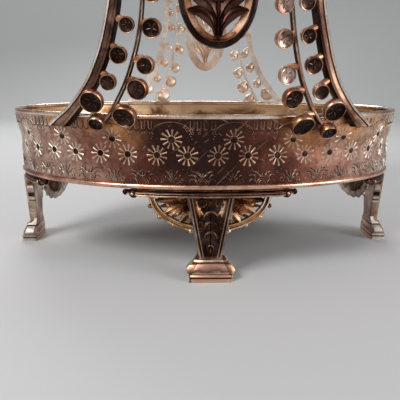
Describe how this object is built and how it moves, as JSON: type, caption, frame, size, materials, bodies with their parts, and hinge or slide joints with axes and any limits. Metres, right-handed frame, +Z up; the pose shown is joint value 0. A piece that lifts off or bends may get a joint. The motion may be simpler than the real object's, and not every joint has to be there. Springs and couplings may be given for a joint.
{
  "type": "brides basket",
  "caption": "Silver-plated basket stand: oval footed tray, openwork floral supports, bowl ring, lift-out ruffled glass bowl and a swinging bail handle.",
  "frame": {"origin": "on the table under the middle of the tray, at the middle of the four feet", "axes": "+Z up, -Y towards the front of the picture, +X to the right"},
  "size_m": [0.2594, 0.2274, 0.3236],
  "materials": {
    "pale_silver": "polished plate",
    "warm_silver": "toned plate, bright-cut",
    "dark_silver": "oxidised plate",
    "opal_glass": "gloss"
  },
  "bodies": {
    "stand": {"bowl_ring": "pale_silver", "flower_stem_back_left": "dark_silver", "flower_stem_back_right": "dark_silver", "flower_stem_front_left": "dark_silver", "flower_stem_front_right": "dark_silver", "handle_lug_left": "pale_silver", "handle_lug_right": "pale_silver", "leg_cornice_back": "warm_silver", "leg_cornice_front": "warm_silver", "leg_cornice_left": "warm_silver", "leg_cornice_right": "warm_silver", "leg_fan_back": "warm_silver", "leg_fan_front": "warm_silver", "leg_fan_left": "warm_silver", "leg_fan_right": "warm_silver", "leg_foot_back": "pale_silver", "leg_foot_front": "pale_silver", "leg_foot_left": "pale_silver", "leg_foot_right": "pale_silver", "leg_panel_back": "warm_silver", "leg_panel_front": "warm_silver", "leg_panel_left": "warm_silver", "leg_panel_right": "warm_silver", "medallion_leaf_back": "warm_silver", "medallion_leaf_front": "warm_silver", "medallion_ring_back": "dark_silver", "medallion_ring_front": "dark_silver", "medallion_yoke_back": "dark_silver", "medallion_yoke_front": "dark_silver", "pivot_pin_left": "pale_silver", "pivot_pin_right": "pale_silver", "support_arm_back_left": "dark_silver", "support_arm_back_right": "dark_silver", "support_arm_front_left": "dark_silver", "support_arm_front_right": "dark_silver", "tray_base_bead": "pale_silver", "tray_dish": "warm_silver", "tray_rim_bead": "pale_silver"},
    "bail": {"bail_handle": "pale_silver"},
    "bowl": {"glass_bowl": "opal_glass"}
  },
  "joints": [
    {"name": "bail_swing", "type": "hinge", "parent": "stand", "child": "bail", "pos_m": [0, 0, 0.168], "axis": [1, 0, 0], "range_deg": [-80, 80]},
    {"name": "bowl_lift", "type": "slide", "parent": "stand", "child": "bowl", "axis": [0, 0, 1], "range_m": [0, 0.035]}
  ]
}
